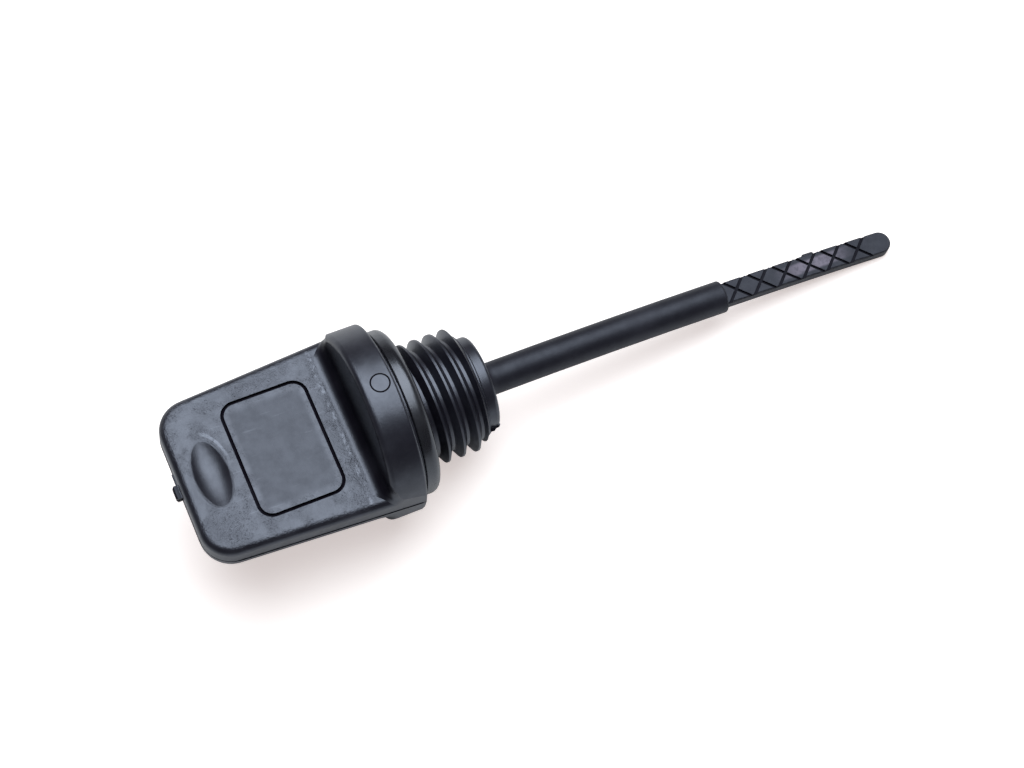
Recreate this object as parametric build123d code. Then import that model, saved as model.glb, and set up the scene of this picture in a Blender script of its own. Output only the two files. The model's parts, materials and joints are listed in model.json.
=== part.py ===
"""Engine oil dipstick with a screw-in filler cap head, one plastic moulding with a rubber seal.

The stick is drawn along X in its own axis frame: x = 0 is the front face of the collar, the blade
points to +X, the flat grip lies in the XY plane and the parting plane of the mould is z = 0.
At the end it is laid down as it rests on a table: on the collar's lower rim and the blade's tip.
All sizes are millimetres.
"""
from build123d import *
import math
import os

# Collar
collar_diameter = 30.4
collar_length = 5.4
collar_front_edge = 0.45
collar_wall_lean = 2.0
collar_rear_edge = 0.9

# Grip
grip_reach = 34.0
grip_thickness = 6.8
grip_end_width = 25.8
grip_side_taper = 3.6
grip_draft = 1.5
grip_corner = 5.0
grip_upper_edge = 1.3
grip_lower_edge = 2.6
cove_radius = 2.2

# Outlined panel on the grip's upper face
panel_near = -24.3
panel_far = -10.8
panel_width = 19.2
panel_corner = 2.2
panel_line_width = 0.55
panel_line_depth = 0.6

# Thumb dish at the grip's end
dish_centre = -28.9
dish_half_length = 2.65
dish_half_width = 5.6
dish_depth = 0.9
dish_rim = 0.8

# Moulding marks: ejector pin on the collar, broken gate at the grip's end
ejector_diameter = 3.1
ejector_depth = 0.25
ejector_gap = 0.2
ejector_x = -2.2
gate_width = 2.2
gate_height = 1.3
gate_reach = 0.9
gate_root = 0.6
gate_edge = 0.25
gate_offset = 0.13
sliver_width = 2.0
sliver_height = 0.4
sliver_reach = 0.2

# Seat, neck and stub below the collar
shoulder_diameter = 26.6
shoulder_length = 0.65
shoulder_edge = 0.2
neck_diameter = 16.9
neck_end = 13.4
stub_diameter = 15.4
stub_lead = 0.35
stub_end = 15.55
stub_corner = 0.6
stub_root = 1.9

# Thread
thread_diameter = 19.8
thread_pitch = 2.5
thread_start = 4.8
thread_turns = 3.8
thread_crest = 0.35
thread_flank = 30.0
thread_overlap = 0.2
thread_lead_in = 1.0
thread_run_out = 12.4
thread_run_out_length = 1.2

# Seal
seal_diameter = 26.8
seal_thickness = 2.6
seal_front_edge = 1.3
seal_back_edge = 0.25
seal_clearance = 0.1
seal_bevel = 0.5
seal_thread_room = 0.2

# Rod and blade
rod_diameter = 5.3
rod_end = 58.1
rod_end_edge = 0.35
bow_radius = 1500.0
blade_width = 3.7
blade_thickness = 2.05
blade_tip = 88.65
blade_edge = 0.18
blade_root = 2.0

# Crossed grooves that hold oil on the blade
cross_count = 6
cross_pitch = 4.44
cross_first = 82.7
cross_line_width = 0.5
cross_line_depth = 0.4

# Flash left on the blade's edge
flash_x = 74.6
flash_length = 2.0
flash_reach = 0.55
flash_height = 0.7
flash_edge = 0.2

# Wear where the collar's rim and the blade's tip stand on a table
foot_wear = 0.05

# Construction: how far cutting shapes run past the surface, how far the grip runs into the collar,
# and how close two positions count as the same
overrun = 2.0
grip_tail = 6.0
same = 0.01

collar_radius = collar_diameter / 2
grip_half = grip_thickness / 2
rod_radius = rod_diameter / 2
neck_radius = neck_diameter / 2
stub_radius = stub_diameter / 2
thread_radius = thread_diameter / 2
bow_start = stub_end + stub_root
axial = Plane(origin=(0, 0, 0), x_dir=(0, 1, 0), z_dir=(1, 0, 0))


def grip_half_width(x):
    """Half the grip's width at the parting plane, x along the axis."""
    return grip_end_width / 2 + (x + grip_reach) * math.tan(math.radians(grip_side_taper))


def bent(x, y):
    """Point in the parting plane at distance x along the bowed stick and y to its side."""
    turn = (x - bow_start) / bow_radius
    arm = bow_radius + y
    return (bow_start + arm * math.sin(turn), arm * math.cos(turn) - bow_radius)


def along(x):
    """Location on the bowed stick at distance x, turned with the bow."""
    turn = math.degrees((x - bow_start) / bow_radius)
    return Pos(*bent(x, 0)) * Rot(0, 0, -turn)


def drafted_half(height, front):
    """Upper half of the grip's outline from the parting plane, with rounded end corners and draft."""
    back = -grip_reach
    outline = make_face(
        Polyline(
            (back, -grip_half_width(back)),
            (front, -grip_half_width(front)),
            (front, grip_half_width(front)),
            (back, grip_half_width(back)),
            close=True,
        )
    )
    outline = fillet(outline.vertices().sort_by(Axis.X)[:2], grip_corner)
    return extrude(outline, amount=height, taper=grip_draft)


def stepped_prism(back):
    """Side view of grip and collar: flat faces, coves and leaning walls, drawn out across Y."""
    lean = math.tan(math.radians(collar_wall_lean))
    top = collar_radius + overrun
    foot = (-collar_length - (collar_radius - grip_half) * lean, grip_half)
    with BuildSketch(Plane.XZ) as side:
        with BuildLine():
            Polyline(
                (back, grip_half),
                foot,
                (-collar_length + overrun * lean, top),
                (grip_tail, top),
                (grip_tail, 0),
                (back, 0),
                close=True,
            )
        make_face()
        corner = side.vertices().sort_by_distance(Vector(foot[0], 0, foot[1]))[0]
        fillet(corner, cove_radius)
    upper = extrude(side.sketch, amount=top, both=True)
    return upper + mirror(upper, about=Plane.XY)


def rim_edges(shape, back):
    """Edges round the stepped faces behind the collar, without the lines that run straight across."""
    edges = []
    for edge in shape.edges():
        box = edge.bounding_box()
        behind = back + same < box.max.X < -same
        straight_across = box.size.X < same and box.min.X > -grip_reach / 2
        if abs(edge.center().Z) > grip_half - same and behind and not straight_across:
            edges.append(edge)
    return edges


def make_grip():
    """Flat tapered grip that rises through coves into the round collar with flat flanks."""
    back = -grip_reach - overrun
    prism = stepped_prism(back)
    half = drafted_half(collar_radius + overrun, grip_tail)
    block = (half + mirror(half, about=Plane.XY)) & prism
    block = block.fillet(grip_lower_edge, rim_edges(block, back))

    bar = prism & axial * Cylinder(collar_radius, -back, align=(Align.CENTER, Align.CENTER, Align.MAX))
    bar = bar.fillet(collar_rear_edge, rim_edges(bar, back))
    front_rim = bar.edges().filter_by(GeomType.CIRCLE).sort_by(Axis.X)[-1]
    bar = bar.fillet(collar_front_edge, [front_rim])

    upper = drafted_half(grip_half, -collar_length + grip_lower_edge)
    face = upper.faces().sort_by(Axis.Z)[-1]
    rim = [edge for edge in face.edges() if edge.center().X < -collar_length]
    return (block & bar) + upper.fillet(grip_upper_edge, rim)


def cut_grip_details(grip):
    """Outlined panel, thumb dish and ejector mark sunk into the grip and collar."""
    panel_length = panel_far - panel_near
    line = panel_line_width
    with BuildSketch(Plane.XY.offset(grip_half - panel_line_depth)) as ring:
        with Locations(((panel_near + panel_far) / 2, 0)):
            RectangleRounded(panel_length + line, panel_width + line, panel_corner + line / 2)
            RectangleRounded(
                panel_length - line, panel_width - line, panel_corner - line / 2, mode=Mode.SUBTRACT
            )
    grip -= extrude(ring.sketch, amount=2 * panel_line_depth)

    curve_x = (dish_half_length**2 + dish_depth**2) / (2 * dish_depth)
    curve_y = (dish_half_width**2 + dish_depth**2) / (2 * dish_depth)
    floor = grip_half - dish_depth
    grip -= Pos(dish_centre, 0, floor + curve_y) * Rot(0, 90, 0) * Torus(curve_y - curve_x, curve_x)
    level = grip.edges().filter_by_position(Axis.Z, grip_half - same, grip_half + same)
    rim = []
    for edge in level:
        near = abs(edge.center().X - dish_centre) < dish_half_length
        if near and edge.bounding_box().size.Y < 3 * dish_half_width:
            rim.append(edge)
    grip = grip.fillet(dish_rim, rim)

    pin_radius = ejector_diameter / 2
    ring = Cylinder(pin_radius, 2 * ejector_depth) - Cylinder(pin_radius - ejector_gap, 2 * ejector_depth)
    return grip - Pos(ejector_x, 0, collar_radius) * ring


def make_gate():
    """Broken stub of the moulding gate on the grip's end."""
    middle = (Align.MAX, Align.CENTER, Align.CENTER)
    stub = Box(gate_root + gate_reach, gate_width, gate_height, align=middle)
    stub = chamfer(stub.edges().group_by(Axis.X)[0], gate_edge)
    beside = (Align.MAX, Align.MIN, Align.CENTER)
    sliver = Box(gate_root + sliver_reach, sliver_width, sliver_height, align=beside)
    return Pos(-grip_reach + gate_root, gate_offset, 0) * (stub + Pos(0, gate_width / 2, 0) * sliver)


def make_hub():
    """Shoulder, neck and stub in front of the collar, turned about the axis."""
    back = -collar_length / 3
    face = stub_radius - stub_corner
    with BuildSketch(Plane.XY) as profile:
        with BuildLine():
            Polyline(
                (back, 0),
                (back, shoulder_diameter / 2),
                (shoulder_length, shoulder_diameter / 2),
                (shoulder_length, neck_radius),
                (neck_end, neck_radius),
                (neck_end + stub_lead, stub_radius),
                (stub_end - stub_corner, stub_radius),
            )
            RadiusArc((stub_end - stub_corner, stub_radius), (stub_end, face), stub_corner)
            Line((stub_end, face), (stub_end, rod_radius + stub_root))
            RadiusArc((stub_end, rod_radius + stub_root), (bow_start, rod_radius), -stub_root)
            Polyline((bow_start, rod_radius), (bow_start, 0), (back, 0))
        make_face()
        rim = profile.vertices().sort_by_distance((shoulder_length, shoulder_diameter / 2, 0))[0]
        fillet(rim, shoulder_edge)
    return revolve(profile.sketch, axis=Axis.X)


def make_thread():
    """Single-start right-hand ridge on the neck, fading in and out between two cones."""
    inner = neck_radius - thread_overlap
    grow = math.tan(math.radians(thread_flank))
    crest = thread_crest / 2
    base = crest + (thread_radius - inner) * grow
    helix = Helix(thread_pitch, thread_pitch * thread_turns, inner)
    with BuildSketch(Plane.XZ) as tooth:
        with BuildLine():
            Polyline(
                (inner, -base), (thread_radius, -crest), (thread_radius, crest), (inner, base), close=True
            )
        make_face()
    ridge = axial.offset(thread_start) * sweep(tooth.sketch, path=helix, is_frenet=True)

    first = thread_start - base
    with BuildSketch(Plane.XY) as limits:
        with BuildLine():
            Polyline(
                (first, 0),
                (first, neck_radius),
                (first + thread_lead_in, thread_radius + same),
                (thread_run_out, thread_radius + same),
                (thread_run_out + thread_run_out_length, stub_radius),
                (thread_run_out + thread_run_out_length, 0),
                close=True,
            )
        make_face()
    return ridge & revolve(limits.sketch, axis=Axis.X)


def make_rod():
    """Round rod on its slightly bowed path."""
    section = Plane.YZ.offset(bow_start) * Circle(rod_radius)
    turn = math.degrees((rod_end - bow_start) / bow_radius)
    axis = Axis((bow_start, -bow_radius, 0), (0, 0, -1))
    rod = revolve(section, axis=axis, revolution_arc=turn)
    end = rod.edges().filter_by(GeomType.CIRCLE).sort_by(Axis.X)[-1]
    return rod.fillet(rod_end_edge, [end])


def make_blade():
    """Flat round-tipped blade with crossed grooves on its upper face and flash on one edge."""
    half = blade_width / 2
    start = rod_end - blade_root
    stop = blade_tip - half
    middle = (start + stop) / 2
    with BuildSketch(Plane.XY) as outline:
        with BuildLine():
            ThreePointArc(bent(start, half), bent(middle, half), bent(stop, half))
            ThreePointArc(bent(stop, half), bent(blade_tip, 0), bent(stop, -half))
            ThreePointArc(bent(stop, -half), bent(middle, -half), bent(start, -half))
            Line(bent(start, -half), bent(start, half))
        make_face()
    blade = extrude(outline.sketch, amount=blade_thickness / 2, both=True)
    level = blade.edges().filter_by(lambda edge: abs(edge.center().Z) > blade_thickness / 2 - same)
    blade = blade.fillet(blade_edge, [edge for edge in level if edge.center().X > start + same])

    reach = blade_width * 2
    for index in range(cross_count):
        spot = along(cross_first - index * cross_pitch) * Pos(0, 0, blade_thickness / 2)
        for slant in (45, -45):
            blade -= spot * Rot(0, 0, slant) * Box(reach, cross_line_width, 2 * cross_line_depth)

    flash = Box(flash_length, 2 * flash_reach, flash_height)
    flash = chamfer(flash.edges().group_by(Axis.Y)[-1], flash_edge)
    return blade + along(flash_x) * Pos(0, half, 0) * flash


def make_seal():
    """Flat rubber ring seated on the shoulder, its front rounded outside and bevelled inside."""
    inner = neck_radius + seal_clearance
    front = shoulder_length + seal_thickness
    with BuildSketch(Plane.XY) as profile:
        with BuildLine():
            Polyline(
                (shoulder_length, inner),
                (shoulder_length, seal_diameter / 2),
                (front, seal_diameter / 2),
                (front, thread_radius + seal_thread_room),
                (front - seal_bevel, inner),
                close=True,
            )
        make_face()
        rims = profile.vertices().group_by(Axis.Y)[-1].sort_by(Axis.X)
        fillet(rims[-1], seal_front_edge)
        rims = profile.vertices().group_by(Axis.Y)[-1].sort_by(Axis.X)
        fillet(rims[0], seal_back_edge)
    return revolve(profile.sketch, axis=Axis.X)


def rest_tilt():
    """Angle in degrees by which the stick leans when the collar's rim and the blade's tip touch down."""
    rim = (-collar_front_edge, collar_front_edge - collar_radius)
    tip = (bent(blade_tip, 0)[0] - blade_edge, blade_edge - blade_thickness / 2)
    span_x = tip[0] - rim[0]
    span_z = tip[1] - rim[1]
    slope = math.atan2(span_z, span_x)
    return math.degrees(slope + math.asin((collar_front_edge - blade_edge) / math.hypot(span_x, span_z)))


grip = cut_grip_details(make_grip())
body = grip + make_gate() + make_hub() + make_thread() + make_rod() + make_blade()
seal = make_seal()

# Laid down: leaning on the tip with worn feet, lowest face at z = 0, centred over the origin
lean = Rot(0, rest_tilt(), 0)
ground = Plane.XY.offset((lean * body).bounding_box().min.Z + foot_wear)
laid = split(lean * body, bisect_by=ground, keep=Keep.TOP)
box = laid.bounding_box()
centre = Pos(-(box.min.X + box.max.X) / 2, -(box.min.Y + box.max.Y) / 2, -box.min.Z)

os.makedirs("parts", exist_ok=True)
export_step(centre * laid, "parts/dipstick_body.step")
export_step(centre * lean * seal, "parts/sealing_gasket.step")
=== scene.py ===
"""Dressed view of a black plastic engine oil dipstick lying on a white table."""
import json
import logging
import math
from dataclasses import dataclass, field
from enum import Enum
from functools import partial, reduce

import bmesh
import bpy
from mathutils import Matrix, Quaternion, Vector


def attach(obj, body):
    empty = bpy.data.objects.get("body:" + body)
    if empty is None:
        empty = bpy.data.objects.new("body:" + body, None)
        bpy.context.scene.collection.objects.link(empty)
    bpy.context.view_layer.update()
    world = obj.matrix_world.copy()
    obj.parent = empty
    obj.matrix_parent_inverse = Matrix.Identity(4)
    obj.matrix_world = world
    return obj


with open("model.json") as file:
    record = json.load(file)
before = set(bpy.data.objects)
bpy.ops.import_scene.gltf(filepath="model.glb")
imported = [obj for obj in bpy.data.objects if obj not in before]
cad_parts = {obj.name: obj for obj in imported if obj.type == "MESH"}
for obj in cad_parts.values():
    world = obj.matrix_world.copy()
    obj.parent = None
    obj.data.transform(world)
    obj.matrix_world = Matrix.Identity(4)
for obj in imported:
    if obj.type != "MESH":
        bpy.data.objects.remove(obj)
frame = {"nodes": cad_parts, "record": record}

log = logging.getLogger("dipstick")

MM = 0.001
NOISE_MIDDLE = 0.5

Colour = tuple[float, float, float]
Place = tuple[float, float, float]
Span = tuple[float, float]
Socket = bpy.types.NodeSocket
Number = Socket | float


class Node(Enum):
    """CAD nodes of the dipstick."""

    BODY = "dipstick_body"
    SEAL = "sealing_gasket"


@dataclass(frozen=True)
class StickFrame:
    """The stick's own axes: x along the axis from the collar's front face, z out of the grip's face."""

    origin: Vector
    tilt: float

    @classmethod
    def from_record(cls, record: dict, seal_front: float) -> "StickFrame":
        """Read the axis from the thread mount.

        Args:
            record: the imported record.
            seal_front: distance in mm from the collar's face to the mount's point.

        Returns:
            The stick's frame in the row frame.
        """
        mount = next(item for item in record["mounts"] if item["name"] == "thread")
        axis = Vector(mount["axis"]).normalized()
        return cls(Vector(mount["pos_m"]) - axis * seal_front * MM, math.atan2(-axis.z, axis.x))

    def matrix(self) -> Matrix:
        """Matrix from the stick's millimetres to the row's metres."""
        return Matrix.Translation(self.origin) @ Matrix.Rotation(self.tilt, 4, "Y") @ Matrix.Scale(MM, 4)


def rgba(colour: Colour) -> tuple[float, float, float, float]:
    """A colour with full opacity, as sockets take it."""
    return (*colour, 1.0)


@dataclass
class NodeGraph:
    """Short hand for wiring one material's shader nodes."""

    material: bpy.types.Material

    def add(self, kind: str, **inputs: object) -> bpy.types.Node:
        """Add a node and fill its inputs.

        Args:
            kind: shader node type.
            inputs: socket names, with underscores for spaces, and the values or sockets that feed them.

        Returns:
            The new node.
        """
        node = self.material.node_tree.nodes.new(kind)
        for name, value in inputs.items():
            self.feed(node.inputs[name.replace("_", " ")], value)
        return node

    def feed(self, socket: Socket, value: object) -> None:
        """Link an input to a socket, or set its value.

        Args:
            socket: the input.
            value: the socket to link, or a plain value.
        """
        if isinstance(value, Socket):
            self.material.node_tree.links.new(value, socket)
        else:
            socket.default_value = value

    def math(self, operation: str, *values: Number, clamp: bool = False) -> Socket:
        """Do one operation on numbers.

        Args:
            operation: name of the Math node's operation.
            values: numbers or sockets, in order.
            clamp: whether to hold the result between 0 and 1.

        Returns:
            The result's socket.
        """
        node = self.material.node_tree.nodes.new("ShaderNodeMath")
        node.operation = operation
        node.use_clamp = clamp
        for socket, value in zip(node.inputs, values):
            self.feed(socket, value)
        return node.outputs[0]

    def times(self, *values: Number) -> Socket:
        """Multiply two or more numbers."""
        return reduce(partial(self.math, "MULTIPLY"), values)

    def plus(self, *values: Number) -> Socket:
        """Add two or more numbers."""
        return reduce(partial(self.math, "ADD"), values)

    def minus(self, first: Number, second: Number) -> Socket:
        """Take the second number from the first."""
        return self.math("SUBTRACT", first, second)

    def size(self, value: Number) -> Socket:
        """A number without its sign."""
        return self.math("ABSOLUTE", value)

    def apart(self, first: Number, second: Number) -> Socket:
        """How far two numbers lie from each other."""
        return self.size(self.minus(first, second))

    def square(self, value: Number) -> Socket:
        """A number times itself."""
        return self.math("POWER", value, 2.0)

    def above(self, value: Number, level: float) -> Socket:
        """1 where a number is over a level, else 0."""
        return self.math("GREATER_THAN", value, level)

    def below(self, value: Number, level: float) -> Socket:
        """1 where a number is under a level, else 0."""
        return self.math("LESS_THAN", value, level)

    def ramp(self, value: Number, low: float, high: float, bottom: float = 0.0, top: float = 1.0) -> Socket:
        """Map a number smoothly from one range to another.

        Args:
            value: the number to map.
            low: value that gives bottom.
            high: value that gives top.
            bottom: result at low.
            top: result at high.

        Returns:
            The result's socket.
        """
        node = self.add("ShaderNodeMapRange", Value=value, From_Min=low, From_Max=high)
        node.interpolation_type = "SMOOTHSTEP"
        node.inputs["To Min"].default_value = bottom
        node.inputs["To Max"].default_value = top
        return node.outputs["Result"]

    def noise(self, vector: Socket, lump: float, detail: float = 2.0, roughness: float = 0.5) -> Socket:
        """Make noise.

        Args:
            vector: the place's socket.
            lump: about how wide one lump is, in the vector's unit.
            detail: how many finer layers are added.
            roughness: how strong the finer layers are.

        Returns:
            The noise factor's socket.
        """
        node = self.add("ShaderNodeTexNoise", Vector=vector, Scale=1 / lump, Detail=detail,
                        Roughness=roughness)
        return node.outputs["Fac"]

    def mix(self, factor: Number, first: object, second: object) -> Socket:
        """Blend two colours.

        Args:
            factor: 0 for the first colour, 1 for the second.
            first: a colour's socket, or its four numbers.
            second: the same for the other colour.

        Returns:
            The blend's socket.
        """
        node = self.add("ShaderNodeMix")
        node.data_type = "RGBA"
        for index, value in ((0, factor), (6, first), (7, second)):
            self.feed(node.inputs[index], value)
        return node.outputs[2]


def new_material(name: str) -> tuple[NodeGraph, bpy.types.Node]:
    """Start a material.

    Args:
        name: the material's name.

    Returns:
        Its node graph and its Principled shader.
    """
    material = bpy.data.materials.new(name)
    material.use_nodes = True
    return NodeGraph(material), material.node_tree.nodes["Principled BSDF"]


@dataclass(frozen=True)
class Spot:
    """Sockets of a place on the stick, in the stick's millimetres."""

    vector: Socket
    x: Socket
    y: Socket
    z: Socket

    @classmethod
    def on_stick(cls, graph: NodeGraph, stick: StickFrame) -> "Spot":
        """Turn Object coordinates into the stick's millimetres.

        Args:
            graph: the material's graph.
            stick: the stick's frame.

        Returns:
            The place's sockets.
        """
        place = graph.add("ShaderNodeTexCoord").outputs["Object"]
        mapping = graph.add("ShaderNodeMapping", Vector=place)
        mapping.vector_type = "TEXTURE"
        mapping.inputs["Location"].default_value = stick.origin
        mapping.inputs["Rotation"].default_value = (0.0, stick.tilt, 0.0)
        mapping.inputs["Scale"].default_value = (MM, MM, MM)
        vector = mapping.outputs["Vector"]
        return cls(vector, *graph.add("ShaderNodeSeparateXYZ", Vector=vector).outputs)


@dataclass(frozen=True)
class GripFace:
    """Where the cove's foot and the oval thumb dish lie on the grip's face."""

    cove_foot: float = -8.45
    dish_place: float = -28.9
    dish_half: Span = (2.95, 5.85)

    def dish_reach(self, graph: NodeGraph, spot: Spot) -> Socket:
        """Measure from the dish's middle.

        Args:
            graph: the material's graph.
            spot: the place on the stick.

        Returns:
            Socket of the distance's square, which is 1 on the dish's rim.
        """
        along = graph.math("DIVIDE", graph.minus(spot.x, self.dish_place), self.dish_half[0])
        across = graph.math("DIVIDE", spot.y, self.dish_half[1])
        return graph.plus(graph.square(along), graph.square(across))


@dataclass(frozen=True)
class GripPanel:
    """The field inside the grip's engraved outline, smoother and duller than the skin round it."""

    middle: float = -17.55
    half: Span = (6.4, 9.2)
    fade: Span = (1.0, 0.8)
    groove_box: Span = (7.6, 10.4)
    groove_levels: Span = (2.6, 3.28)
    groove_fade: float = 0.1

    def cover(self, graph: NodeGraph, spot: Spot) -> Socket:
        """Mark the field.

        Args:
            graph: the material's graph.
            spot: the place on the stick.

        Returns:
            The factor's socket, 1 over the field and fading towards the groove.
        """
        beside = graph.math("DIVIDE", graph.apart(spot.x, self.middle), self.half[0])
        across = graph.math("DIVIDE", graph.size(spot.y), self.half[1])
        return graph.ramp(graph.math("MAXIMUM", beside, across), *self.fade)

    def groove(self, graph: NodeGraph, spot: Spot) -> Socket:
        """Mark the engraved outline.

        Args:
            graph: the material's graph.
            spot: the place on the stick.

        Returns:
            The factor's socket, 1 down in the groove.
        """
        beside = graph.below(graph.apart(spot.x, self.middle), self.groove_box[0])
        across = graph.below(graph.size(spot.y), self.groove_box[1])
        floor, face = self.groove_levels
        sunk = graph.times(graph.above(spot.z, floor), graph.ramp(spot.z, face, face - self.groove_fade))
        return graph.times(beside, across, sunk)


@dataclass(frozen=True)
class BladeFace:
    """The blade's grooved face, rubbed pale along its middle."""

    start: float = 58.2
    top: float = 0.9
    groove_floor: float = 0.55
    groove_fade: Span = (0.02, 0.08)
    worn_middle: float = 74.6
    worn_reach: Span = (8.0, 1.5)
    worn_half: float = 1.25
    worn_core: float = 0.55
    worn_bow: float = 1.1
    worn_skin: float = 0.06
    grain_size: float = 0.7
    grain_range: Span = (0.25, 0.62)
    grain_floor: float = 0.45

    def groove(self, graph: NodeGraph, spot: Spot) -> Socket:
        """Mark the crossed oil grooves.

        Args:
            graph: the material's graph.
            spot: the place on the stick.

        Returns:
            The factor's socket, 1 down in the grooves.
        """
        on_blade = graph.times(graph.above(spot.x, self.start), graph.above(spot.z, self.groove_floor))
        rim, depth = self.groove_fade
        return graph.times(on_blade, graph.ramp(spot.z, self.top - rim, self.top - depth))

    def wear(self, graph: NodeGraph, spot: Spot) -> Socket:
        """Mark the rubbed skin.

        Args:
            graph: the material's graph.
            spot: the place on the stick.

        Returns:
            The factor's socket, strongest at the blade's middle.
        """
        along = graph.ramp(graph.apart(spot.x, self.worn_middle), *self.worn_reach)
        bowed = graph.size(graph.plus(spot.y, self.worn_bow))
        across = graph.ramp(bowed, self.worn_half, self.worn_half * self.worn_core)
        skin = graph.ramp(spot.z, self.top - self.worn_skin, self.top)
        lumps = graph.noise(spot.vector, self.grain_size, detail=3.0)
        grain = graph.ramp(lumps, *self.grain_range, self.grain_floor, 1.0)
        return graph.times(along, across, skin, grain, graph.above(spot.x, self.start))


@dataclass(frozen=True)
class HighlightAndScratches:
    """Extra shine on the grip's face: a painted highlight along the cove's foot, a shinier arc beside the
    dish, and scratches.
    """

    grip: GripFace = GripFace()
    face_levels: Span = (3.3, 3.38)
    foot_width: Span = (0.45, 0.1)
    foot_lump: float = 1.1
    foot_range: Span = (0.42, 0.6)
    arc_reach: float = 1.28
    arc_width: Span = (0.2, 0.06)
    arc_start: Span = (0.2, 1.0)
    arc_side: Span = (1.0, 3.0)
    scratch_turn: float = 0.6
    scratch_stretch: Place = (0.28, 3.2, 1.0)
    scratch_lump: float = 1.3
    scratch_range: Span = (0.67, 0.75)
    scratch_shine: float = 0.3

    def build(self, graph: NodeGraph, spot: Spot) -> Socket:
        """Mark the painted highlight, the shinier arc and the scratches.

        Args:
            graph: the material's graph.
            spot: the place on the stick.

        Returns:
            The factor's socket.
        """
        face = graph.ramp(spot.z, *self.face_levels)
        # Painted highlight: a bright strip along the cove's foot.
        lumps = graph.ramp(graph.noise(spot.vector, self.foot_lump), *self.foot_range)
        strip = graph.ramp(graph.apart(spot.x, self.grip.cove_foot), *self.foot_width)
        foot = graph.times(strip, lumps, face)
        ring = graph.ramp(graph.apart(self.grip.dish_reach(graph, spot), self.arc_reach), *self.arc_width)
        begin, full = self.arc_start
        inner = graph.ramp(spot.x, self.grip.dish_place + begin, self.grip.dish_place + full)
        arc = graph.times(ring, inner, graph.ramp(spot.y, *self.arc_side))
        drawn = graph.add("ShaderNodeMapping", Vector=spot.vector)
        drawn.inputs["Rotation"].default_value = (0.0, 0.0, self.scratch_turn)
        drawn.inputs["Scale"].default_value = self.scratch_stretch
        streaks = graph.noise(drawn.outputs["Vector"], self.scratch_lump)
        scratch = graph.ramp(streaks, *self.scratch_range, 0.0, self.scratch_shine)
        on_face = graph.times(face, graph.below(spot.x, self.grip.cove_foot))
        return graph.plus(foot, graph.times(graph.plus(arc, scratch), on_face))


@dataclass(frozen=True)
class ShadeAndDulling:
    """Painted shade in grooves, along the parting line, in the pin's ring and on the collar's wall, where
    the shine is taken away; the gate's end and the flash fin lose shine too.
    """

    panel: GripPanel = GripPanel()
    blade: BladeFace = BladeFace()
    blade_cover: float = 0.8
    line_half: float = 0.19
    line_core: float = 0.6
    line_end: float = 0.0
    pin_place: float = -2.2
    pin_radius: float = 1.45
    pin_line: Span = (0.16, 0.09)
    pin_level: float = 14.0
    gate_start: float = -34.08
    gate_cover: float = 0.7
    fin_start: float = 13.6
    fin_edge: float = -7.72
    wall_levels: Span = (3.43, 4.0)
    wall_fade: Span = (5.5, 9.0)
    wall_top: float = 0.65
    wall_front: float = -5.2
    wall_blend: float = 0.5
    wall_cover: float = 0.85

    def build(self, graph: NodeGraph, spot: Spot) -> Socket:
        """Mark all the places that lose their shine: painted shade, the gate's end and the flash fin.

        Args:
            graph: the material's graph.
            spot: the place on the stick.

        Returns:
            The factor's socket, 1 where the shine is taken away.
        """
        # Painted shade along the parting line, in the blade's grooves, the panel's groove, the pin's ring
        # and on the collar's wall; the gate's end and the flash fin are dulled too.
        line = graph.ramp(graph.size(spot.z), self.line_half, self.line_half * self.line_core)
        seam = graph.times(line, graph.below(spot.x, self.line_end))
        cut = graph.times(self.blade.groove(graph, spot), self.blade_cover)
        gate = graph.times(graph.below(spot.x, self.gate_start), self.gate_cover)
        fin = graph.times(graph.above(spot.x, self.fin_start), graph.below(spot.y, self.fin_edge))
        pin, wall = self.pin_mark(graph, spot), self.collar_wall(graph, spot)
        return graph.plus(self.panel.groove(graph, spot), wall, seam, cut, pin, gate, fin)

    def pin_mark(self, graph: NodeGraph, spot: Spot) -> Socket:
        """Mark painted shade in the ring that the ejector pin left on the collar.

        Args:
            graph: the material's graph.
            spot: the place on the stick.

        Returns:
            The factor's socket.
        """
        along, across = graph.square(graph.minus(spot.x, self.pin_place)), graph.square(spot.y)
        away = graph.math("SQRT", graph.plus(along, across))
        ring = graph.ramp(graph.apart(away, self.pin_radius), *self.pin_line)
        return graph.times(ring, graph.above(spot.z, self.pin_level))

    def collar_wall(self, graph: NodeGraph, spot: Spot) -> Socket:
        """Mark the painted shade on the collar's wall over the grip, darkest down in the cove.

        Args:
            graph: the material's graph.
            spot: the place on the stick.

        Returns:
            The factor's socket.
        """
        behind = graph.ramp(spot.x, self.wall_front, self.wall_front - self.wall_blend)
        rising = graph.ramp(spot.z, *self.wall_fade, 1.0, self.wall_top)
        return graph.times(graph.ramp(spot.z, *self.wall_levels), behind, rising, self.wall_cover)


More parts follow.
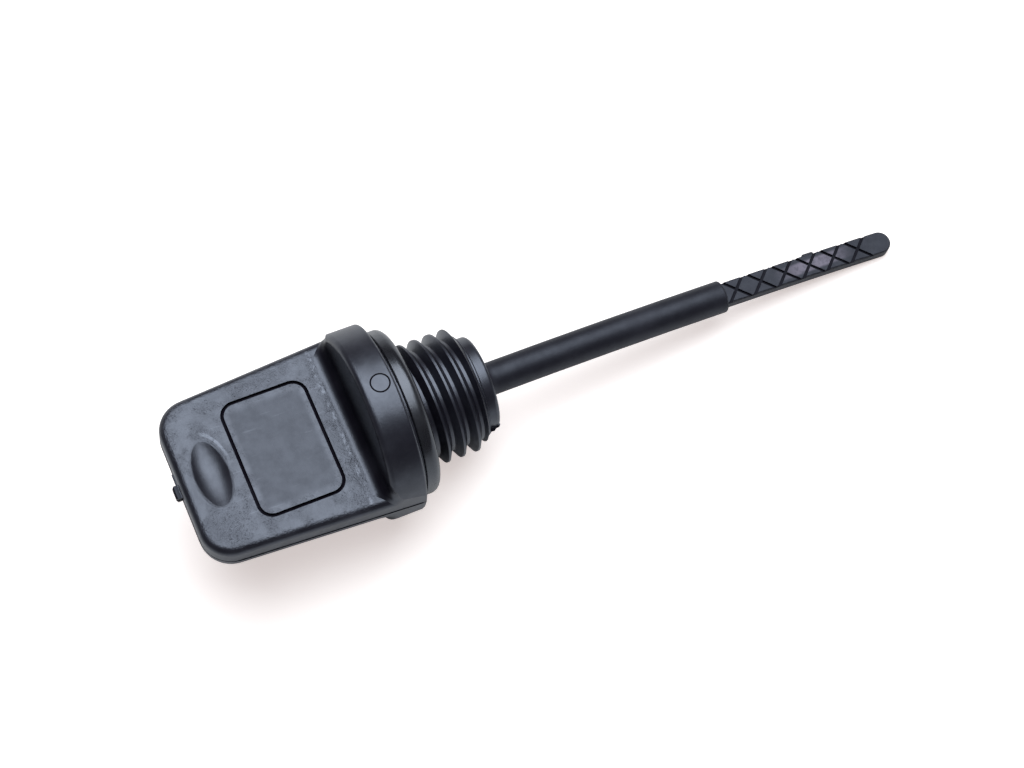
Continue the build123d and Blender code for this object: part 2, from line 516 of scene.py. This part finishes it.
@dataclass(frozen=True)
class MouldGrain:
    """Relief of the moulded skin: sink waves, grain in patches and small pits."""

    grip: GripFace = GripFace()
    dish_fade: Span = (0.85, 1.15)
    face_levels: Span = (3.0, 3.3)
    cove_blend: float = 1.2
    off_face: float = 0.14
    off_panel: float = 0.7
    patch_size: float = 2.6
    patch_range: Span = (0.38, 0.60)
    patch_floor: float = 0.55
    grain_size: float = 0.27
    grain_height: float = 0.095
    grain_roughness: float = 0.6
    pit_size: float = 0.40
    pit_range: Span = (0.34, 0.14)
    pit_depth: float = 0.020
    wave_size: float = 6.0
    wave_height: float = 0.012

    def coarseness(self, graph: NodeGraph, spot: Spot) -> Socket:
        """Say how coarse the skin is.

        Args:
            graph: the material's graph.
            spot: the place on the stick.

        Returns:
            The factor's socket, 1 on the grip's flat face, low in the dish and on all the rest.
        """
        behind = graph.ramp(spot.x, self.grip.cove_foot + self.cove_blend, self.grip.cove_foot)
        flat = graph.times(graph.ramp(spot.z, *self.face_levels), behind)
        clear = graph.ramp(self.grip.dish_reach(graph, spot), *self.dish_fade)
        return graph.ramp(graph.times(flat, clear), 0.0, 1.0, self.off_face, 1.0)

    def build(self, graph: NodeGraph, spot: Spot, panel: Socket) -> Socket:
        """Make the relief.

        Args:
            graph: the material's graph.
            spot: the place on the stick.
            panel: factor that is 1 on the grip's smoother field.

        Returns:
            The normal's socket.
        """
        wave = graph.times(graph.noise(spot.vector, self.wave_size, detail=1.0), self.wave_height)
        patch = graph.ramp(graph.noise(spot.vector, self.patch_size, detail=4.0), *self.patch_range)
        rough = graph.minus(1.0, graph.times(panel, self.off_panel))
        rough = graph.times(rough, self.coarseness(graph, spot))
        lumps = graph.noise(spot.vector, self.grain_size, detail=3.0, roughness=self.grain_roughness)
        cover = graph.times(rough, graph.ramp(patch, 0.0, 1.0, self.patch_floor, 1.0))
        grain = graph.times(graph.times(lumps, self.grain_height), cover)
        cells = graph.add("ShaderNodeTexVoronoi", Vector=spot.vector, Scale=1 / self.pit_size)
        pit = graph.ramp(cells.outputs["Distance"], *self.pit_range)
        pits = graph.times(pit, self.pit_depth, patch, rough)
        height = graph.plus(wave, graph.minus(grain, pits))
        bump = graph.add("ShaderNodeBump", Height=height, Distance=MM, Strength=1.0)
        return bump.outputs["Normal"]


@dataclass(frozen=True)
class PlasticFinish:
    """Satin black moulded plastic with the marks of its mould and of use, painted shade in its grooves and
    corners, a painted highlight and a painted cool sheen.
    """

    colour: Colour = (0.0062, 0.0056, 0.0095)
    bloom: Colour = (0.012, 0.0115, 0.017)
    worn: Colour = (0.150, 0.132, 0.172)
    # Painted reflection colour: a cool blue tint on the sheen stands in for the cool light it reflects.
    cool_lamp_sheen: Colour = (0.75, 0.83, 1.0)
    bloom_size: float = 5.0
    bloom_range: Span = (0.42, 0.72)
    specular: float = 0.95
    rod_specular: float = 0.50
    extra_specular: float = 0.7
    panel_gloss: float = 0.64
    mottle_size: float = 2.4
    mottle_roughness: float = 0.6
    mottle_range: Span = (0.3, 0.7)
    mottle_gloss: Span = (0.86, 1.1)
    roughness: float = 0.36
    rod_roughness: float = 0.50
    bloom_roughness: float = 0.12
    panel_smoothness: float = 0.02
    rod_start: float = 15.2
    rod_blend: float = 1.5
    panel: GripPanel = GripPanel()
    blade: BladeFace = BladeFace()
    # Painted highlight at the cove's foot, a shinier arc and scratches.
    highlight_and_scratches: HighlightAndScratches = HighlightAndScratches()
    # Painted shade and dulled spots, which take shine away.
    shade_and_dulling: ShadeAndDulling = ShadeAndDulling()
    grain: MouldGrain = MouldGrain()

    def build(self, stick: StickFrame) -> bpy.types.Material:
        """Make the material.

        Args:
            stick: the stick's frame, which the marks are placed in.

        Returns:
            The material.
        """
        graph, shader = new_material("satin black plastic")
        spot = Spot.on_stick(graph, stick)
        panel = self.panel.cover(graph, spot)
        rod = graph.ramp(spot.x, self.rod_start, self.rod_start + self.rod_blend)
        patches = graph.noise(spot.vector, self.bloom_size, detail=3.0)

        base = graph.mix(graph.ramp(patches, *self.bloom_range), rgba(self.colour), rgba(self.bloom))
        tint = graph.mix(self.blade.wear(graph, spot), base, rgba(self.worn))
        graph.feed(shader.inputs["Base Color"], tint)

        rough = graph.ramp(rod, 0.0, 1.0, self.roughness, self.rod_roughness)
        rough = graph.plus(rough, graph.times(graph.minus(patches, NOISE_MIDDLE), self.bloom_roughness))
        rough = graph.minus(rough, graph.times(panel, self.panel_smoothness))
        graph.feed(shader.inputs["Roughness"], rough)

        graph.feed(shader.inputs["Specular IOR Level"], self.gloss(graph, spot, panel, rod))
        # Painted reflection colour: the cool light's blue is tinted into the plastic's sheen.
        shader.inputs["Specular Tint"].default_value = rgba(self.cool_lamp_sheen)
        graph.feed(shader.inputs["Normal"], self.grain.build(graph, spot, panel))
        return graph.material

    def gloss(self, graph: NodeGraph, spot: Spot, panel: Socket, rod: Socket) -> Socket:
        """Work out how strongly the skin shines.

        Args:
            graph: the material's graph.
            spot: the place on the stick.
            panel: factor that is 1 on the grip's smoother field.
            rod: factor that is 1 on the duller rod and blade.

        Returns:
            Socket of the specular level.
        """
        shine = graph.ramp(rod, 0.0, 1.0, self.specular, self.rod_specular)
        # Painted highlight along the cove's foot, with the arc and the scratches, adds shine.
        shine = graph.plus(shine, graph.times(self.highlight_and_scratches.build(graph, spot), self.extra_specular))
        lumps = graph.noise(spot.vector, self.mottle_size, detail=4.0, roughness=self.mottle_roughness)
        mottle = graph.ramp(lumps, *self.mottle_range, *self.mottle_gloss)
        dulled = graph.ramp(panel, 0.0, 1.0, 1.0, self.panel_gloss)
        # Painted shade in grooves, seam, pin ring and collar wall takes shine away; the gate's end and the
        # flash fin are dulled.
        shine_kept = graph.math("SUBTRACT", 1.0, self.shade_and_dulling.build(graph, spot), clamp=True)
        return graph.times(shine, mottle, dulled, shine_kept)


@dataclass(frozen=True)
class RubberFinish:
    """Smooth black rubber, glossier than the moulding."""

    colour: Colour = (0.006, 0.006, 0.0075)
    dusty: Colour = (0.014, 0.014, 0.016)
    # Painted reflection colour: a cool blue tint on the sheen stands in for the cool light it reflects.
    cool_lamp_sheen: Colour = (0.79, 0.86, 1.0)
    specular: float = 1.0
    roughness: Span = (0.22, 0.36)
    dust_size: float = 4.0
    dust_range: Span = (0.45, 0.8)
    roughness_range: Span = (0.3, 0.75)
    grain_size: float = 0.5
    grain_height: float = 0.02
    grain_strength: float = 0.4

    def build(self) -> bpy.types.Material:
        """Make the material.

        Returns:
            The material.
        """
        graph, shader = new_material("smooth black rubber")
        place = graph.add("ShaderNodeTexCoord").outputs["Object"]
        dust = graph.noise(place, self.dust_size * MM, detail=4.0)
        tint = graph.mix(graph.ramp(dust, *self.dust_range), rgba(self.colour), rgba(self.dusty))
        graph.feed(shader.inputs["Base Color"], tint)
        graph.feed(shader.inputs["Roughness"], graph.ramp(dust, *self.roughness_range, *self.roughness))
        shader.inputs["Specular IOR Level"].default_value = self.specular
        # Painted reflection colour: the cool light's blue is tinted into the rubber's sheen.
        shader.inputs["Specular Tint"].default_value = rgba(self.cool_lamp_sheen)
        grain = graph.noise(place, self.grain_size * MM)
        height = self.grain_height * MM
        bump = graph.add("ShaderNodeBump", Height=grain, Distance=height, Strength=self.grain_strength)
        graph.feed(shader.inputs["Normal"], bump.outputs["Normal"])
        return graph.material


@dataclass(frozen=True)
class TableFinish:
    """White table, lifted to pure white for the camera only."""

    colour: Colour = (0.82, 0.82, 0.82)
    roughness: float = 0.9
    lift_colour: Colour = (1.0, 0.90, 0.87)
    lift: float = 0.57

    def build(self) -> bpy.types.Material:
        """Make the material.

        Returns:
            The material.
        """
        graph, shader = new_material("white table")
        shader.inputs["Base Color"].default_value = rgba(self.colour)
        shader.inputs["Roughness"].default_value = self.roughness
        shader.inputs["Specular IOR Level"].default_value = 0.0
        shader.inputs["Emission Color"].default_value = rgba(self.lift_colour)
        seen = graph.add("ShaderNodeLightPath").outputs["Is Camera Ray"]
        graph.feed(shader.inputs["Emission Strength"], graph.times(seen, self.lift))
        return graph.material


def dress_node(node: bpy.types.Object, material: bpy.types.Material) -> None:
    """Give a CAD node its finish.

    Args:
        node: the CAD object.
        material: its finish.
    """
    node.data.materials.clear()
    node.data.materials.append(material)
    log.info("%s: dressed", node.name)


def thicken(mesh: bmesh.types.BMesh, height: float) -> None:
    """Raise a flat mesh into a plate.

    Args:
        mesh: the flat mesh.
        height: the plate's height.
    """
    raised = bmesh.ops.extrude_face_region(mesh, geom=mesh.faces[:])["geom"]
    lifted = [item for item in raised if isinstance(item, bmesh.types.BMVert)]
    bmesh.ops.translate(mesh, verts=lifted, vec=(0.0, 0.0, height))


def link_piece(name: str, mesh: bmesh.types.BMesh, material: bpy.types.Material) -> None:
    """Turn a bmesh into a piece that rides the part's one body.

    Args:
        name: the piece's name.
        mesh: its shape in the row frame, in metres; it is freed.
        material: its finish.
    """
    bmesh.ops.recalc_face_normals(mesh, faces=mesh.faces)
    data = bpy.data.meshes.new(name)
    mesh.to_mesh(data)
    mesh.free()
    data.materials.append(material)
    piece = bpy.data.objects.new(name, data)
    bpy.context.scene.collection.objects.link(piece)
    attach(piece, "root")
    log.info("%s: %d faces", name, len(data.polygons))


@dataclass
class Moulding:
    """The one-piece plastic body with the fine lines its mould left."""

    stick: StickFrame
    finish: PlasticFinish = field(default_factory=PlasticFinish)
    slot: str = "body_plastic"
    grip_end: float = -34.0
    end_half_width: float = 12.9
    front_half_width: float = 15.0
    corner: float = 5.0
    corner_segments: int = 14
    line_front: float = -0.6
    line_height: float = 0.26
    line_proud: float = 0.06
    line_depth: float = 0.4
    flash_height: float = 0.32
    flash_edge: float = 0.05
    flash_segments: int = 2
    flash_outline: tuple[Span, ...] = (
        (13.2, -7.3), (15.3, -7.0), (15.55, -7.6), (15.2, -7.95),
        (14.7, -7.9), (14.3, -8.3), (13.8, -8.2), (13.3, -8.6))

    def build(self, node: bpy.types.Object) -> None:
        """Dress the body and add its small pieces.

        Args:
            node: the body's CAD object.
        """
        plastic = self.finish.build(self.stick)
        dress_node(node, plastic)
        self.build_parting_line(plastic)
        self.build_stub_flash(plastic)

    def build_parting_line(self, material: bpy.types.Material) -> None:
        """Make the thin raised line round the grip's edge where the mould's halves met.

        Args:
            material: the plastic.
        """
        mesh = bmesh.new()
        back = self.grip_end - self.line_proud
        end = self.end_half_width + self.line_proud
        front = self.front_half_width + self.line_proud
        places = ((back, -end), (self.line_front, -front), (self.line_front, front), (back, end))
        corners = [mesh.verts.new((x, y, -self.line_height / 2)) for x, y in places]
        mesh.faces.new(corners)
        bmesh.ops.bevel(mesh, geom=[corners[0], corners[3]], affect="VERTICES", offset=self.corner,
                        segments=self.corner_segments, profile=0.5, material=-1)
        mesh.normal_update()
        rim = bmesh.ops.inset_region(mesh, faces=mesh.faces[:], thickness=self.line_depth,
                                     use_boundary=True, use_even_offset=True)["faces"]
        bmesh.ops.delete(mesh, geom=[face for face in mesh.faces if face not in rim], context="FACES")
        thicken(mesh, self.line_height)
        mesh.transform(self.stick.matrix())
        link_piece("parting_line", mesh, material)

    def build_stub_flash(self, material: bpy.types.Material) -> None:
        """Make the torn fin of flash on the stub's near side, in the mould's parting plane.

        Args:
            material: the plastic.
        """
        mesh = bmesh.new()
        corners = [mesh.verts.new((x, y, -self.flash_height / 2)) for x, y in self.flash_outline]
        mesh.faces.new(corners)
        thicken(mesh, self.flash_height)
        bmesh.ops.bevel(mesh, geom=mesh.edges[:], affect="EDGES", offset=self.flash_edge,
                        segments=self.flash_segments, profile=0.5, material=-1)
        mesh.transform(self.stick.matrix())
        link_piece("stub_flash", mesh, material)


@dataclass
class SealRing:
    """The rubber ring under the collar."""

    finish: RubberFinish = field(default_factory=RubberFinish)
    front: float = 3.25

    def build(self, node: bpy.types.Object) -> None:
        """Dress the ring's CAD object."""
        dress_node(node, self.finish.build())


@dataclass
class Studio:
    """White table, soft lamp overhead and the camera."""

    table_half: float = 3.0
    table_finish: TableFinish = field(default_factory=TableFinish)
    lamp_size: Span = (0.66, 0.62)
    lamp_place: Place = (0.12, 0.165, 0.60)
    lamp_power: float = 5.9
    lamp_colour: Colour = (0.95, 0.98, 1.0)
    ambient_colour: Colour = (0.96, 0.93, 1.0)
    ambient_strength: float = 0.12
    backdrop_colour: Colour = (1.0, 1.0, 1.0)
    camera_place: Place = (-0.038049, -0.101980, 0.305532)
    camera_target: Place = (-0.005555, 0.001920, 0.0)
    camera_roll: float = -7.0199
    camera_focal_pixels: float = 1989.0
    camera_near: float = 0.01
    image_width: float = 1024.0
    sensor_width: float = 36.0

    def build(self) -> None:
        """Set the whole stage."""
        for step in (self.build_table, self.build_lamp, self.build_world, self.build_camera):
            step()
        bpy.context.scene.view_settings.view_transform = "Standard"
        log.info("stage: set")

    def build_table(self) -> None:
        """Make the table top at the part's lowest level."""
        mesh = bmesh.new()
        bmesh.ops.create_grid(mesh, x_segments=1, y_segments=1, size=self.table_half)
        data = bpy.data.meshes.new("table")
        mesh.to_mesh(data)
        mesh.free()
        data.materials.append(self.table_finish.build())
        table = bpy.data.objects.new("table", data)
        bpy.context.scene.collection.objects.link(table)

    def build_lamp(self) -> None:
        """Hang the soft lamp over the part."""
        lamp = bpy.data.lights.new("soft lamp", "AREA")
        lamp.shape = "RECTANGLE"
        lamp.size, lamp.size_y = self.lamp_size
        lamp.energy = self.lamp_power
        lamp.color = self.lamp_colour
        holder = bpy.data.objects.new("soft lamp", lamp)
        holder.location = self.lamp_place
        holder.rotation_euler = (-Vector(self.lamp_place)).to_track_quat("-Z", "Y").to_euler()
        bpy.context.scene.collection.objects.link(holder)

    def build_world(self) -> None:
        """Light the room dimly, and show it white to the camera."""
        world = bpy.data.worlds.new("room")
        world.use_nodes = True
        nodes = world.node_tree.nodes
        links = world.node_tree.links
        room = nodes["Background"]
        room.inputs["Color"].default_value = rgba(self.ambient_colour)
        room.inputs["Strength"].default_value = self.ambient_strength
        backdrop = nodes.new("ShaderNodeBackground")
        backdrop.inputs["Color"].default_value = rgba(self.backdrop_colour)
        path = nodes.new("ShaderNodeLightPath")
        mix = nodes.new("ShaderNodeMixShader")
        links.new(path.outputs["Is Camera Ray"], mix.inputs[0])
        links.new(room.outputs[0], mix.inputs[1])
        links.new(backdrop.outputs[0], mix.inputs[2])
        links.new(mix.outputs[0], nodes["World Output"].inputs["Surface"])
        bpy.context.scene.world = world

    def build_camera(self) -> None:
        """Aim the camera as the photograph was taken."""
        lens = bpy.data.cameras.new("camera")
        lens.sensor_width = self.sensor_width
        lens.lens = self.camera_focal_pixels * self.sensor_width / self.image_width
        lens.clip_start = self.camera_near
        camera = bpy.data.objects.new("camera", lens)
        place = Vector(self.camera_place)
        aim = (Vector(self.camera_target) - place).to_track_quat("-Z", "Y")
        roll = Quaternion((0.0, 0.0, 1.0), math.radians(self.camera_roll))
        camera.location = place
        camera.rotation_euler = (aim @ roll).to_euler()
        bpy.context.scene.collection.objects.link(camera)
        bpy.context.scene.camera = camera


def main(frame: dict) -> None:
    """Dress the dipstick and set the stage.
    """
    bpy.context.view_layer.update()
    ring = SealRing()
    stick = StickFrame.from_record(frame["record"], ring.front)
    Moulding(stick).build(frame["nodes"][Node.BODY.value])
    ring.build(frame["nodes"][Node.SEAL.value])
    Studio().build()


if __name__ == "__main__":
    logging.basicConfig(level=logging.INFO)
    main(frame)
